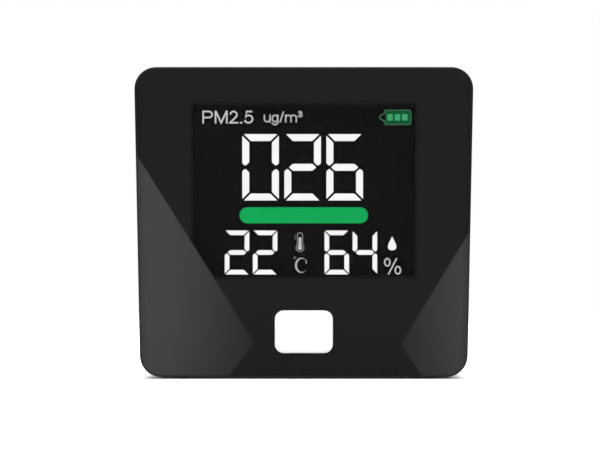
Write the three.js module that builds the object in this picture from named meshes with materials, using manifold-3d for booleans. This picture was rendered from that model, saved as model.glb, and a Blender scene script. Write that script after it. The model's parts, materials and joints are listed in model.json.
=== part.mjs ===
// Desktop air quality monitor: a palm-sized box with a full-face lens over a segment display, one push
// button, a laser particle sensor with its own fan, a humidity sensor and a rechargeable battery.
// Millimetres, +Z up. The face looks along -Y, and the origin is on the table, under the middle of the box.
import * as THREE from "three";
import { mergeVertices } from "three/addons/utils/BufferGeometryUtils.js";
import Module from "manifold-3d";

const wasm = await Module();
wasm.setup();

// ---------------------------------------------------------------- driving dimensions

const DEPTH = 36; // from the button's face to the back of the casing
const FACE_TOP_WIDTH = 80.4;
const FACE_BOTTOM_WIDTH = 77.4;
const FACE_HEIGHT = 73.4;
const CORNER_RADIUS = 5.2;
const BACK_EDGE_RADIUS = 4;
const BACK_SHRINK = 0.04; // share by which the casing narrows from its front edge to its back
const FOOT_PROUD = 0.3; // the casing stands this far off the table
const WALL = 2;
const FRONT_WALL = 1.6;
const LENS_THICKNESS = 2;
const TAPE_THICKNESS = 0.3;
const SEAM_GAP = 0.15;
const FIT_GAP = 0.1; // between pieces that only touch
const OVERRUN = 1; // how far a cutting tool runs past the face it cuts through

const BUTTON = { width: 13.7, height: 10.1, radius: 2.1, z: 11.1, proud: 0.4, gap: 0.25, edge: 0.5 };
const WINDOW = { width: 52.8, height: 40.8, z: 44.4 }; // what shows of the display
// The display's glass. The contacts are on the front glass's ledge, below the rear glass.
const GLASS = { halfWidth: 27.4, top: 66.6, bottom: 19.6, rearBottom: 22.7 };
const BOARD = { inset: 3, thickness: 1.6 };
const BATTERY = { width: 50, height: 30, thickness: 8, z: 20, endBoard: 2.8, tapeThickness: 0.5 };
const SENSOR = { width: 40, height: 30, depth: 12.4, z: 52.3, wall: 1.2, lid: 1.2 };
const FAN = { x: 8.5, bore: 8.4, blades: 7, shaft: 0.5, bearing: 0.56 };
const SCREW = { shank: 1.2, head: 2.3, land: 2.6, topX: 31.5, topZ: 62.5, bottomX: 30, bottomZ: 8 };
const FOOT = { radius: 3.6, thickness: 1.2, x: 28, y: 10.5 };
const USB = { z: 20, width: 7.6, thickness: 2.6, length: 5.4, wall: 0.3 };

// Half the number of straight steps in a rounded corner.
const ARC_STEPS = 6;
const SMALL_ARC_STEPS = 3;

// Stations along Y, from the face to the back.
const BUTTON_FACE = -DEPTH / 2;
const LENS_FACE = BUTTON_FACE + BUTTON.proud;
const TAPE_FACE = LENS_FACE + LENS_THICKNESS;
const CASE_FACE = TAPE_FACE + TAPE_THICKNESS;
const FRONT_WALL_BACK = CASE_FACE + FRONT_WALL;
const BOARD_FACE = -8.4;
const BOARD_BACK = BOARD_FACE + BOARD.thickness;
const SPLIT = -2; // where the front housing ends
const BACK = DEPTH / 2;
const BACK_WALL_FACE = BACK - WALL;
const SENSOR_FACE = 2.8;
const POST_FACE = BOARD_BACK + FIT_GAP;
const SCREW_SEAT = POST_FACE + SCREW.land; // the floor that each screw's head sits on
const BATTERY_BACK = BACK_WALL_FACE - BATTERY.tapeThickness;
const BATTERY_FACE = BATTERY_BACK - BATTERY.thickness;

// ---------------------------------------------------------------- materials

function finish(color, roughness, metalness = 0) {
  return new THREE.MeshStandardMaterial({ color, roughness, metalness });
}

const lensBlack = finish(0x222222, 0.15);
const caseBlack = finish(0x1f1f1f, 0.5);
const buttonWhite = finish(0xf8f8f8, 0.4);
const rubberBlack = finish(0x161616, 0.9);
const foamGrey = finish(0x3a3a3c, 0.95);
const steel = finish(0x9a9a98, 0.35, 1);
const tin = finish(0xb8b8b4, 0.3, 1);
const displayBlack = finish(0x151515, 0.2);
const displayGlass = finish(0x9fb4b0, 0.05);
const milkyPlastic = finish(0xe9eef0, 0.3);
const whitePlastic = finish(0xefefe8, 0.5);
const blackPlastic = finish(0x202022, 0.6);
const boardGreen = finish(0x1c5a34, 0.45);
const boardBlue = finish(0x1b3f7a, 0.45);
const chipBlack = finish(0x18181a, 0.6);
const pouchSilver = finish(0xa9acb0, 0.4, 0.6);
const amberFilm = finish(0xb87818, 0.35);
const redWire = finish(0xb01c18, 0.5);
const greyCable = finish(0x6e7074, 0.6);
const brass = finish(0xb08d4a, 0.35, 1);
const copper = finish(0xa8562c, 0.4, 1);

// ---------------------------------------------------------------- solids

// A closed three.js geometry as a manifold solid.
function solid(geometry) {
  const bare = geometry.clone();
  bare.deleteAttribute("normal");
  bare.deleteAttribute("uv");
  const merged = mergeVertices(bare, 1e-3);
  const mesh = new wasm.Mesh({
    numProp: 3,
    vertProperties: merged.attributes.position.array,
    triVerts: new Uint32Array(merged.index.array),
  });
  return new wasm.Manifold(mesh);
}

function cut(base, ...tools) {
  return tools.reduce((left, tool) => left.subtract(solid(tool)), base);
}

function join(base, ...pieces) {
  return pieces.reduce((whole, piece) => whole.add(solid(piece)), base);
}

function geometryOf(manifold) {
  const mesh = manifold.getMesh();
  return new THREE.BufferGeometry()
    .setAttribute("position", new THREE.BufferAttribute(new Float32Array(mesh.vertProperties), 3))
    .setIndex(new THREE.BufferAttribute(new Uint32Array(mesh.triVerts), 1));
}

const monitor = new THREE.Group();
const particleSensor = new THREE.Group(); // holds the pieces drawn about the sensor's own front face
particleSensor.position.set(0, SENSOR_FACE, SENSOR.z);
monitor.add(particleSensor);

// Adds one named sub-part, given as a geometry or as a manifold solid.
function add(name, shape, material, parent = monitor) {
  const mesh = new THREE.Mesh(shape.isBufferGeometry ? shape : geometryOf(shape), material);
  mesh.name = name;
  parent.add(mesh);
}

// A box from its two corners.
function box(x0, x1, y0, y1, z0, z1) {
  return new THREE.BoxGeometry(x1 - x0, y1 - y0, z1 - z0)
    .translate((x0 + x1) / 2, (y0 + y1) / 2, (z0 + z1) / 2);
}

// A box from its middle in X and Z, and its front and back.
function block(width, height, x, z, yFront, yBack) {
  return box(x - width / 2, x + width / 2, yFront, yBack, z - height / 2, z + height / 2);
}

// A box that is even about the middle of the face.
function layer(halfWidth, bottom, top, yFront, yBack) {
  return box(-halfWidth, halfWidth, yFront, yBack, bottom, top);
}

// Round bars along each axis.
function bar(radius, x, z, yFront, yBack, sides = 16) {
  return new THREE.CylinderGeometry(radius, radius, yBack - yFront, sides)
    .translate(x, (yFront + yBack) / 2, z);
}

function disc(radius, x, y, zBottom, zTop, sides = 24) {
  return new THREE.CylinderGeometry(radius, radius, zTop - zBottom, sides)
    .rotateX(Math.PI / 2).translate(x, y, (zBottom + zTop) / 2);
}

function barAlongX(radius, x0, x1, y, z, sides = 16) {
  return new THREE.CylinderGeometry(radius, radius, x1 - x0, sides)
    .rotateZ(Math.PI / 2).translate((x0 + x1) / 2, y, z);
}

// A shape drawn in X and Z, pushed out along Y.
function prism(shape, yFront, yBack, curveSegments = ARC_STEPS) {
  return new THREE.ExtrudeGeometry(shape, { depth: yBack - yFront, bevelEnabled: false, curveSegments })
    .rotateX(Math.PI / 2).translate(0, yBack, 0);
}

// The same, with the edges at both ends rounded inwards.
function softPrism(shape, yFront, yBack, radius, steps) {
  const settings = {
    depth: yBack - yFront - 2 * radius,
    bevelThickness: radius,
    bevelSize: radius,
    bevelOffset: -radius,
    bevelSegments: steps,
    curveSegments: ARC_STEPS,
  };
  return new THREE.ExtrudeGeometry(shape, settings).rotateX(Math.PI / 2).translate(0, yBack - radius, 0);
}

function points(pairs) {
  return pairs.map((pair) => new THREE.Vector2(...pair));
}

// A convex outline through anticlockwise corner points, with every corner rounded.
function roundedPolygon(corners, radius) {
  const outline = new THREE.Shape();
  corners.forEach((corner, i) => {
    const toBefore = corners.at(i - 1).clone().sub(corner).normalize();
    const toAfter = corners[(i + 1) % corners.length].clone().sub(corner).normalize();
    const half = toBefore.angleTo(toAfter) / 2;
    const reach = radius / Math.tan(half);
    const centre = toBefore.clone().add(toAfter).setLength(radius / Math.sin(half)).add(corner);
    const start = toBefore.multiplyScalar(reach).add(corner).sub(centre).angle();
    const end = toAfter.multiplyScalar(reach).add(corner).sub(centre).angle();
    outline.absarc(centre.x, centre.y, radius, start, end, false);
  });
  return outline;
}

function roundedRectangle(width, height, x, z, radius) {
  const sides = [[-1, -1], [1, -1], [1, 1], [-1, 1]];
  return roundedPolygon(points(sides.map(([i, j]) => [x + (i * width) / 2, z + (j * height) / 2])), radius);
}

// A tube along a smooth curve.
function wire(places, radius) {
  const path = new THREE.CatmullRomCurve3(places.map((place) => new THREE.Vector3(...place)));
  const section = new THREE.Shape().absarc(0, 0, radius, 0, 2 * Math.PI, false);
  const settings = { steps: 14, extrudePath: path, bevelEnabled: false, curveSegments: SMALL_ARC_STEPS };
  return new THREE.ExtrudeGeometry(section, settings);
}

// ---------------------------------------------------------------- the casing's own outline

function halfWidthAt(z) {
  return THREE.MathUtils.lerp(FACE_BOTTOM_WIDTH, FACE_TOP_WIDTH, (z - FOOT_PROUD) / FACE_HEIGHT) / 2;
}

// The face's outline, a little wider at the top, moved inwards by an inset.
function faceOutline(inset) {
  const bottom = FOOT_PROUD + inset;
  const top = FOOT_PROUD + FACE_HEIGHT - inset;
  const lower = halfWidthAt(bottom) - inset;
  const upper = halfWidthAt(top) - inset;
  return roundedPolygon(
    points([[-lower, bottom], [lower, bottom], [upper, top], [-upper, top]]),
    CORNER_RADIUS - inset,
  );
}

// Narrows a casing geometry towards the back, about the middle of its underside.
function narrowed(geometry) {
  const position = geometry.getAttribute("position");
  for (let i = 0; i < position.count; i++) {
    const share = 1 - (BACK_SHRINK * (position.getY(i) - CASE_FACE)) / (BACK - CASE_FACE);
    position.setX(i, position.getX(i) * share);
    position.setZ(i, FOOT_PROUD + (position.getZ(i) - FOOT_PROUD) * share);
  }
  return geometry;
}

function caseSlice(inset, yFront, yBack) {
  return narrowed(prism(faceOutline(inset), yFront, yBack));
}

// A block of the whole casing's width and height between two stations, for trimming.
function trimBlock(yFront, yBack) {
  return block(2 * FACE_TOP_WIDTH, 2 * FACE_HEIGHT, 0, FACE_HEIGHT / 2, yFront, yBack);
}

const SCREW_POINTS = {
  top_left: [-SCREW.topX, SCREW.topZ],
  top_right: [SCREW.topX, SCREW.topZ],
  bottom_left: [-SCREW.bottomX, SCREW.bottomZ],
  bottom_right: [SCREW.bottomX, SCREW.bottomZ],
};

const FOOT_POINTS = {
  front_left: [-FOOT.x, -FOOT.y],
  front_right: [FOOT.x, -FOOT.y],
  rear_left: [-FOOT.x, FOOT.y],
  rear_right: [FOOT.x, FOOT.y],
};

// Shallow round seats for the feet in the casing's floor.
function footSeats() {
  return Object.values(FOOT_POINTS).map(
    ([x, y]) => disc(FOOT.radius + FIT_GAP, x, y, -OVERRUN, FOOT.thickness + FIT_GAP),
  );
}

// ---------------------------------------------------------------- casing

function buttonOutline(extra) {
  const radius = BUTTON.radius + extra / 2;
  return roundedRectangle(BUTTON.width + extra, BUTTON.height + extra, 0, BUTTON.z, radius);
}

function windowOutline(extra) {
  return roundedRectangle(WINDOW.width + extra, WINDOW.height + extra, 0, WINDOW.z, 1);
}

function makeLens() {
  const edge = 0.6;
  const plate = softPrism(faceOutline(FIT_GAP), LENS_FACE, TAPE_FACE + 2 * edge, edge, 2);
  return cut(
    solid(plate),
    trimBlock(TAPE_FACE, TAPE_FACE + 3 * edge),
    prism(buttonOutline(2 * BUTTON.gap), LENS_FACE - OVERRUN, TAPE_FACE + OVERRUN),
  );
}

function makeTape() {
  const edge = 1.2; // inside the face's outline
  const clearance = { window: 3, button: 2 }; // both sides together
  return cut(
    solid(prism(faceOutline(edge), TAPE_FACE, CASE_FACE)),
    prism(windowOutline(clearance.window), TAPE_FACE - OVERRUN, CASE_FACE + OVERRUN, SMALL_ARC_STEPS),
    prism(buttonOutline(clearance.button), TAPE_FACE - OVERRUN, CASE_FACE + OVERRUN, SMALL_ARC_STEPS),
  );
}

function makeFrontHousing() {
  const boss = { radius: 2.5, pilot: 1.3, back: BOARD_FACE - FIT_GAP };
  const tongue = { outer: 1.1, inner: 2.2, root: 1, reach: 1.2 };
  const port = { width: USB.width + 1.6, border: 0.7 };
  const glassClearance = 0.3;
  let housing = cut(
    solid(caseSlice(0, CASE_FACE, SPLIT)),
    caseSlice(WALL, FRONT_WALL_BACK, SPLIT + OVERRUN),
  );
  // The tongue fits into the rear cover's groove.
  housing = housing.add(cut(
    solid(caseSlice(tongue.outer, SPLIT - tongue.root, SPLIT + tongue.reach)),
    caseSlice(tongue.inner, SPLIT - 2 * tongue.root, SPLIT + 2 * tongue.reach),
  ));
  for (const [x, z] of Object.values(SCREW_POINTS)) {
    housing = join(housing, bar(boss.radius, x, z, FRONT_WALL_BACK - FIT_GAP, boss.back));
    housing = cut(housing, bar(boss.pilot, x, z, FRONT_WALL_BACK, boss.back + OVERRUN));
  }
  const portFront = BOARD_BACK - port.border;
  const portBack = BOARD_BACK + USB.thickness + port.border;
  return cut(
    housing,
    layer(GLASS.halfWidth + glassClearance, GLASS.bottom - glassClearance, GLASS.top + glassClearance,
      CASE_FACE - OVERRUN, FRONT_WALL_BACK + OVERRUN),
    prism(buttonOutline(2 * BUTTON.gap), CASE_FACE - OVERRUN, FRONT_WALL_BACK + OVERRUN),
    box(SCREW.topX, FACE_TOP_WIDTH, portFront, portBack, USB.z - port.width / 2, USB.z + port.width / 2),
    ...footSeats(),
  );
}

// Calls a function with the height of each of several slots, evenly spaced about the middle one.
function forEachSlot({ slots, pitch, z }, use) {
  for (let i = 0; i < slots; i++) use(z + (i - (slots - 1) / 2) * pitch);
}

const POST = { radius: 3.5, hole: 1.5, well: 2.6 };
const HUMIDITY_BOARD = { x: -34, thickness: 0.8, yFront: 3, yBack: 11, z: 19, height: 11.6 };

// Two slotted rails that hold the humidity sensor's board, as a solid.
function makeBoardRails() {
  const { x, thickness, yFront, yBack, z, height } = HUMIDITY_BOARD;
  const rail = { inner: 1.4, outer: 2.8, depth: 1.7, height: height + 0.4, grip: 1 };
  const rails = join(
    solid(box(x - rail.outer, x + rail.inner, yFront - rail.depth - FIT_GAP, yFront - FIT_GAP,
      z - rail.height / 2, z + rail.height / 2)),
    box(x - rail.outer, x + rail.inner, yBack + FIT_GAP, yBack + rail.depth + FIT_GAP,
      z - rail.height / 2, z + rail.height / 2),
  );
  const slot = thickness / 2 + FIT_GAP;
  return cut(rails, box(x - slot, x + slot, yFront - rail.grip, yBack + rail.grip, z - height, z + height));
}

function makeRearCover() {
  const grille = { slots: 7, width: 34, height: 1.8, tip: 0.88, pitch: 4, z: SENSOR.z };
  const side = { slots: 4, height: 1.4, yFront: 3, yBack: 11, pitch: 3.2, z: HUMIDITY_BOARD.z };
  const groove = { inset: 1, depth: 1.35 };
  const shelf = { width: 48, thickness: 1.2, z: 36.2, yFront: 5 };
  const start = SPLIT + SEAM_GAP;
  const innerRadius = BACK_EDGE_RADIUS - WALL;
  const rooted = BACK_WALL_FACE + WALL / 4; // ribs and posts run this far into the back wall

  // Outside and inside are rounded at both ends, and their front ends lie ahead of the seam.
  const outside = softPrism(faceOutline(0), start - BACK_EDGE_RADIUS, BACK, BACK_EDGE_RADIUS, 6);
  const inside = softPrism(faceOutline(WALL), start - innerRadius, BACK_WALL_FACE, innerRadius, 2);
  let cover = cut(
    solid(narrowed(outside)),
    narrowed(inside),
    trimBlock(start - 2 * BACK_EDGE_RADIUS, start),
    caseSlice(groove.inset, start - OVERRUN, start + groove.depth),
  );
  forEachSlot(grille, (z) => {
    const slot = roundedRectangle(grille.width, grille.height, 0, z, grille.tip);
    cover = cut(cover, prism(slot, BACK_WALL_FACE - OVERRUN, BACK + OVERRUN, SMALL_ARC_STEPS));
  });
  forEachSlot(side, (z) => {
    const slot = block(2 * FACE_TOP_WIDTH, side.height, 0, z, side.yFront, side.yBack);
    cover = cut(cover, slot);
  });
  for (const [x, z] of Object.values(SCREW_POINTS)) {
    cover = join(cover, bar(POST.radius, x, z, POST_FACE, rooted, 20));
    cover = cut(cover, bar(POST.hole, x, z, POST_FACE - OVERRUN, SCREW_SEAT + OVERRUN));
    cover = cut(cover, bar(POST.well, x, z, SCREW_SEAT, BACK + OVERRUN));
  }
  cover = join(cover, block(shelf.width, shelf.thickness, 0, shelf.z, shelf.yFront, rooted));
  return cut(cover.add(makeBoardRails()), ...footSeats());
}

// A pan-head screw along Y with a cross recess, its head towards the back.
function makeScrew(x, z) {
  const seat = SCREW_SEAT + FIT_GAP / 2;
  const tip = { y: FRONT_WALL_BACK + 0.8, radius: 0.5, length: 1 };
  const head = { rim: 0.85, top: 1.85, topRadius: SCREW.head - 0.6 };
  const recess = { length: 2.6, width: 0.55, depth: 1 };
  const profile = points([
    [0, tip.y],
    [tip.radius, tip.y],
    [SCREW.shank, tip.y + tip.length],
    [SCREW.shank, seat],
    [SCREW.head, seat],
    [SCREW.head, seat + head.rim],
    [head.topRadius, seat + head.top],
    [0, seat + head.top],
  ]);
  const floor = seat + head.top - recess.depth;
  return cut(
    solid(new THREE.LatheGeometry(profile, 16).translate(x, 0, z)),
    block(recess.length, recess.width, x, z, floor, floor + 2 * recess.depth),
    block(recess.width, recess.length, x, z, floor, floor + 2 * recess.depth),
  );
}

add("front_lens", makeLens(), lensBlack);
add("lens_tape", makeTape(), rubberBlack);
add("front_housing", makeFrontHousing(), caseBlack);
add("rear_cover", makeRearCover(), caseBlack);
for (const [place, [x, z]] of Object.entries(SCREW_POINTS)) {
  add(`case_screw_${place}`, makeScrew(x, z), steel);
}
for (const [place, [x, y]] of Object.entries(FOOT_POINTS)) {
  add(`foot_${place}`, disc(FOOT.radius, x, y, 0, FOOT.thickness), rubberBlack);
}

// ---------------------------------------------------------------- button and its switch

const SWITCH = { size: 6, cover: 0.3, wellDepth: 1.5, wellRadius: 2.1, holeRadius: 1.95 };
SWITCH.face = BOARD_FACE - 3.3;
const PLUNGER = { radius: 1.7, front: SWITCH.face - 0.5, back: SWITCH.face + 0.9 };

function makeButtonCap() {
  const flange = { extra: 2.4, front: FRONT_WALL_BACK + 0.2, thickness: 1 };
  const boss = { radius: 2.4, gap: 0.05 };
  const column = softPrism(buttonOutline(0), BUTTON_FACE, flange.front + 3 * BUTTON.edge, BUTTON.edge, 2);
  return join(
    cut(solid(column), trimBlock(flange.front + BUTTON.edge, flange.front + 4 * BUTTON.edge)),
    prism(buttonOutline(flange.extra), flange.front, flange.front + flange.thickness),
    bar(boss.radius, 0, BUTTON.z, flange.front + BUTTON.edge, PLUNGER.front - boss.gap),
  );
}

function makeSwitchBase() {
  return cut(
    solid(block(SWITCH.size, SWITCH.size, 0, BUTTON.z, SWITCH.face + SWITCH.cover, BOARD_FACE)),
    bar(SWITCH.wellRadius, 0, BUTTON.z, SWITCH.face, SWITCH.face + SWITCH.wellDepth),
  );
}

function makeSwitchCover() {
  return cut(
    solid(block(SWITCH.size, SWITCH.size, 0, BUTTON.z, SWITCH.face, SWITCH.face + SWITCH.cover)),
    bar(SWITCH.holeRadius, 0, BUTTON.z, SWITCH.face - OVERRUN, SWITCH.face + OVERRUN),
  );
}

add("button_cap", makeButtonCap(), buttonWhite);
add("switch_plunger", bar(PLUNGER.radius, 0, BUTTON.z, PLUNGER.front, PLUNGER.back), blackPlastic);
add("switch_cover", makeSwitchCover(), tin);
add("switch_base", makeSwitchBase(), blackPlastic);

// ---------------------------------------------------------------- display

// Front faces of the display's layers, in order, and the last layer's back. The glass lies in the housing's
// opening, close behind the lens, and the rest lies in the holder.
const LAYERS = {
  frontPolarizer: CASE_FACE - 0.1,
  frontGlass: CASE_FACE + 0.1,
  rearGlass: CASE_FACE + 0.8,
  rearPolarizer: CASE_FACE + 1.5,
  film: CASE_FACE + 1.7,
  lightGuide: CASE_FACE + 2,
  reflector: CASE_FACE + 4.5,
  end: CASE_FACE + 4.7,
};
const FILM = { halfWidth: 26.4, top: 65.9, bottom: 23.4 };
const LIGHT = { left: -26.6, barRight: -24.9, guideLeft: -24.6, right: 26.3, guide: 2.4 };
LIGHT.bar = { thickness: 2.2, inset: 1.4 };
const STRIP = { halfWidth: 25, bottom: 20, top: 22 };

function polarizer(yFront, yBack) {
  const margin = 0.5;
  return layer(GLASS.halfWidth - margin, GLASS.rearBottom + margin, GLASS.top - margin, yFront, yBack);
}

function makeDisplayHolder() {
  const rim = 1.2;
  const slack = 0.3;
  const front = FRONT_WALL_BACK + FIT_GAP;
  const back = BOARD_FACE - FIT_GAP;
  const { halfWidth, bottom, top } = GLASS;
  return cut(
    solid(layer(halfWidth + rim, bottom - rim, top + rim, front, back)),
    box(LIGHT.left - slack, LIGHT.right + slack, front - OVERRUN, back + OVERRUN,
      FILM.bottom - slack, FILM.top + slack),
    layer(STRIP.halfWidth + slack, STRIP.bottom - slack, STRIP.top + slack / 2,
      front - OVERRUN, back + OVERRUN),
  );
}

add("display_front_polarizer", polarizer(LAYERS.frontPolarizer, LAYERS.frontGlass), displayBlack);
add("display_front_glass",
  layer(GLASS.halfWidth, GLASS.bottom, GLASS.top, LAYERS.frontGlass, LAYERS.rearGlass), displayGlass);
add("display_rear_glass",
  layer(GLASS.halfWidth, GLASS.rearBottom, GLASS.top, LAYERS.rearGlass, LAYERS.rearPolarizer),
  displayGlass);
add("display_rear_polarizer", polarizer(LAYERS.rearPolarizer, LAYERS.film), displayBlack);
add("display_colour_film",
  layer(FILM.halfWidth, FILM.bottom, FILM.top, LAYERS.film, LAYERS.film + 0.15), milkyPlastic);
add("display_holder", makeDisplayHolder(), whitePlastic);
add("light_guide", box(
  LIGHT.guideLeft, LIGHT.right, LAYERS.lightGuide, LAYERS.lightGuide + LIGHT.guide, FILM.bottom, FILM.top,
), milkyPlastic);
add("light_reflector", box(
  LIGHT.guideLeft, LIGHT.right, LAYERS.reflector, LAYERS.end, FILM.bottom, FILM.top,
), whitePlastic);
add("light_bar", box(
  LIGHT.left, LIGHT.barRight, LAYERS.lightGuide, LAYERS.lightGuide + LIGHT.bar.thickness,
  FILM.bottom + LIGHT.bar.inset, FILM.top - LIGHT.bar.inset,
), amberFilm);
add("contact_strip",
  layer(STRIP.halfWidth, STRIP.bottom, STRIP.top, LAYERS.rearGlass, BOARD_FACE), rubberBlack);

// ---------------------------------------------------------------- main board

function makeMainBoard() {
  const hole = 1.6;
  const places = Object.values(SCREW_POINTS);
  return cut(
    solid(prism(faceOutline(BOARD.inset), BOARD_FACE, BOARD_BACK)),
    ...places.map(([x, z]) => bar(hole, x, z, BOARD_FACE - OVERRUN, BOARD_BACK + OVERRUN)),
  );
}

const PORT = { right: 36.1, bottom: USB.z - USB.width / 2, top: USB.z + USB.width / 2 };

// The charging socket's metal shell, open towards the right-hand side.
function makeUsbShell() {
  const left = PORT.right - USB.length;
  return cut(
    solid(box(left, PORT.right, BOARD_BACK, BOARD_BACK + USB.thickness, PORT.bottom, PORT.top)),
    box(left + USB.wall, PORT.right + OVERRUN, BOARD_BACK + USB.wall, BOARD_BACK + USB.thickness - USB.wall,
      PORT.bottom + USB.wall, PORT.top - USB.wall),
  );
}

function makeUsbTongue() {
  const tongue = { halfWidth: 2.6, thickness: 0.6, short: 0.9, front: BOARD_BACK + 1 };
  return box(
    PORT.right - USB.length + USB.wall + FIT_GAP, PORT.right - tongue.short,
    tongue.front, tongue.front + tongue.thickness, USB.z - tongue.halfWidth, USB.z + tongue.halfWidth,
  );
}

// A package on the back of the board.
function chip({ width, height, x, z, thickness }) {
  return block(width, height, x, z, BOARD_BACK, BOARD_BACK + thickness);
}

// An open-topped plug housing on the back of the board.
function makeHeader({ width, height, x, z, thickness }) {
  const wall = 0.7;
  const floor = BOARD_BACK + 1;
  return cut(
    solid(chip({ width, height, x, z, thickness })),
    block(width - 2 * wall, height - 2 * wall, x, z, floor, floor + thickness),
  );
}

const BATTERY_HEADER = { width: 8, height: 5.5, x: -18, z: 27, thickness: 4 };
const SENSOR_HEADER = { width: 5, height: 11, x: -27, z: SENSOR.z, thickness: 4 };
const HUMIDITY_HEADER = { width: 3.4, height: 5, x: -31, z: HUMIDITY_BOARD.z, thickness: 2.9 };

add("main_board", makeMainBoard(), boardGreen);
add("microcontroller", chip({ width: 10, height: 10, x: 4, z: 34, thickness: 1.4 }), chipBlack);
add("charge_controller", chip({ width: 5, height: 4, x: 22, z: 24, thickness: 1.3 }), chipBlack);
add("power_inductor", chip({ width: 6, height: 6, x: 13, z: 22, thickness: 3 }), foamGrey);
add("clock_crystal", chip({ width: 8, height: 3.2, x: 4, z: 44, thickness: 2.2 }), tin);
add("usb_shell", makeUsbShell(), tin);
add("usb_tongue", makeUsbTongue(), blackPlastic);
add("battery_header", makeHeader(BATTERY_HEADER), whitePlastic);
add("sensor_header", makeHeader(SENSOR_HEADER), whitePlastic);
add("humidity_header", chip(HUMIDITY_HEADER), whitePlastic);

// ---------------------------------------------------------------- battery

const CELL_LEFT = BATTERY.endBoard - BATTERY.width / 2; // the protection board takes the last stretch

function makeCell() {
  const width = BATTERY.width - BATTERY.endBoard;
  const middle = BATTERY.endBoard / 2;
  const outline = roundedRectangle(width, BATTERY.height, middle, BATTERY.z, 1.5);
  return softPrism(outline, BATTERY_FACE, BATTERY_BACK, 1, 2);
}

function makeProtectionBoard() {
  const inset = 2;
  const shorter = 4;
  return box(
    -BATTERY.width / 2, CELL_LEFT - 2 * FIT_GAP, BATTERY_FACE + inset, BATTERY_BACK - inset,
    BATTERY.z - BATTERY.height / 2 + shorter, BATTERY.z + BATTERY.height / 2 - shorter,
  );
}

// A wire from the header's floor to the protection board, above or below its twin.
function batteryWire(side) {
  const { x, z } = BATTERY_HEADER;
  const boardX = (CELL_LEFT - BATTERY.width / 2) / 2;
  return wire([
    [x + side, BOARD_BACK + 1.5, z],
    [x + side, BOARD_BACK + 6, z],
    [x + side - 4, BOARD_BACK + 9, z + side],
    [boardX, BATTERY_FACE - 1.5, z + side],
    [boardX, BATTERY_FACE + 1.9, z + side],
  ], 0.55);
}

const BATTERY_TAPE = { width: 30, height: 20, x: 3 };

add("battery_cell", makeCell(), pouchSilver);
add("battery_protection_board", makeProtectionBoard(), amberFilm);
add("battery_tape", block(
  BATTERY_TAPE.width, BATTERY_TAPE.height, BATTERY_TAPE.x, BATTERY.z, BATTERY_BACK, BACK_WALL_FACE,
), foamGrey);
add("battery_wire_red", batteryWire(1.2), redWire);
add("battery_wire_black", batteryWire(-1.2), rubberBlack);

// ---------------------------------------------------------------- humidity sensor

function makeHumidityBoard() {
  const { x, thickness, yFront, yBack, z, height } = HUMIDITY_BOARD;
  return block(thickness, height, x, z, yFront, yBack);
}

function makeHumidityChip() {
  const { x, thickness, yFront, yBack, z } = HUMIDITY_BOARD;
  const size = 2.4;
  const right = x - thickness / 2;
  const middle = (yFront + yBack) / 2;
  return box(right - 1, right, middle - size / 2, middle + size / 2, z - size / 2, z + size / 2);
}

// From the board's inner face, round in front of the screw post, to its header.
function makeHumidityCable() {
  const { x, z, thickness } = HUMIDITY_HEADER;
  const radius = 0.5;
  const inner = HUMIDITY_BOARD.x + HUMIDITY_BOARD.thickness / 2;
  const middle = (HUMIDITY_BOARD.yFront + HUMIDITY_BOARD.yBack) / 2;
  const top = BOARD_BACK + thickness + FIT_GAP;
  return wire([[inner + radius, middle, z - 3], [x - radius, middle - 2, z - 3.4], [x, 0, z], [x, top, z]],
    radius);
}

add("humidity_sensor_board", makeHumidityBoard(), boardBlue);
add("humidity_sensor_chip", makeHumidityChip(), chipBlack);
add("humidity_cable", makeHumidityCable(), greyCable);

// ---------------------------------------------------------------- particle sensor

const LID_FACE = SENSOR.depth - SENSOR.lid;
const SENSOR_BOARD = { face: SENSOR.wall + FIT_GAP, back: SENSOR.wall + FIT_GAP + 0.9, margin: 2 };
const PLUG = { left: -22, right: -13, height: 10.8, front: SENSOR_BOARD.back + FIT_GAP, back: 7.4 };
// The fan's own levels, from its frame's front face to its back.
const FAN_LEVELS = { face: 2.4, floor: 3.4, coilFace: 3.6, coilBack: 6.6, postBack: 8.2, back: 10.9 };
const SHAFT = { front: 3, back: 10 };

function makeSensorBase() {
  const { width, height, wall } = SENSOR;
  const back = LID_FACE - FIT_GAP;
  const divider = { left: -2.3, right: -1.5, bottom: -8.5 };
  const opening = 0.3;
  const shell = cut(
    solid(block(width, height, 0, 0, 0, back)),
    block(width - 2 * wall, height - 2 * wall, 0, 0, wall, back + OVERRUN),
  );
  const dividerTop = height / 2 - wall / 2;
  return cut(
    join(shell, box(divider.left, divider.right, FAN_LEVELS.face, back, divider.bottom, dividerTop)),
    box(PLUG.left, -width / 2 + 2 * wall, PLUG.front - opening / 2, PLUG.back + opening,
      -PLUG.height / 2 - opening, PLUG.height / 2 + opening),
  );
}

function makeSensorLid() {
  const inlet = { places: [-15, -12, -9, -6], width: 1.5, height: 14, z: 2 };
  const outlet = FAN.bore - 0.3;
  return cut(
    solid(block(SENSOR.width, SENSOR.height, 0, 0, LID_FACE, SENSOR.depth)),
    bar(outlet, FAN.x, 0, LID_FACE - OVERRUN, SENSOR.depth + OVERRUN, 32),
    ...inlet.places.map(
      (x) => block(inlet.width, inlet.height, x, inlet.z, LID_FACE - OVERRUN, SENSOR.depth + OVERRUN),
    ),
  );
}

// Foam between the lid and the casing's back wall, open over the outlet and over the inlets.
function makeGasket() {
  const foam = { width: 38, height: 28, back: BACK_WALL_FACE - SENSOR_FACE - FIT_GAP / 2 };
  const openings = [{ width: 17.4, x: 8.9 }, { width: 15, x: -10.2 }];
  const openHeight = 25;
  return cut(
    solid(block(foam.width, foam.height, 0, 0, SENSOR.depth, foam.back)),
    ...openings.map(
      ({ width, x }) => block(width, openHeight, x, 0, SENSOR.depth - OVERRUN, foam.back + OVERRUN),
    ),
  );
}

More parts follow.
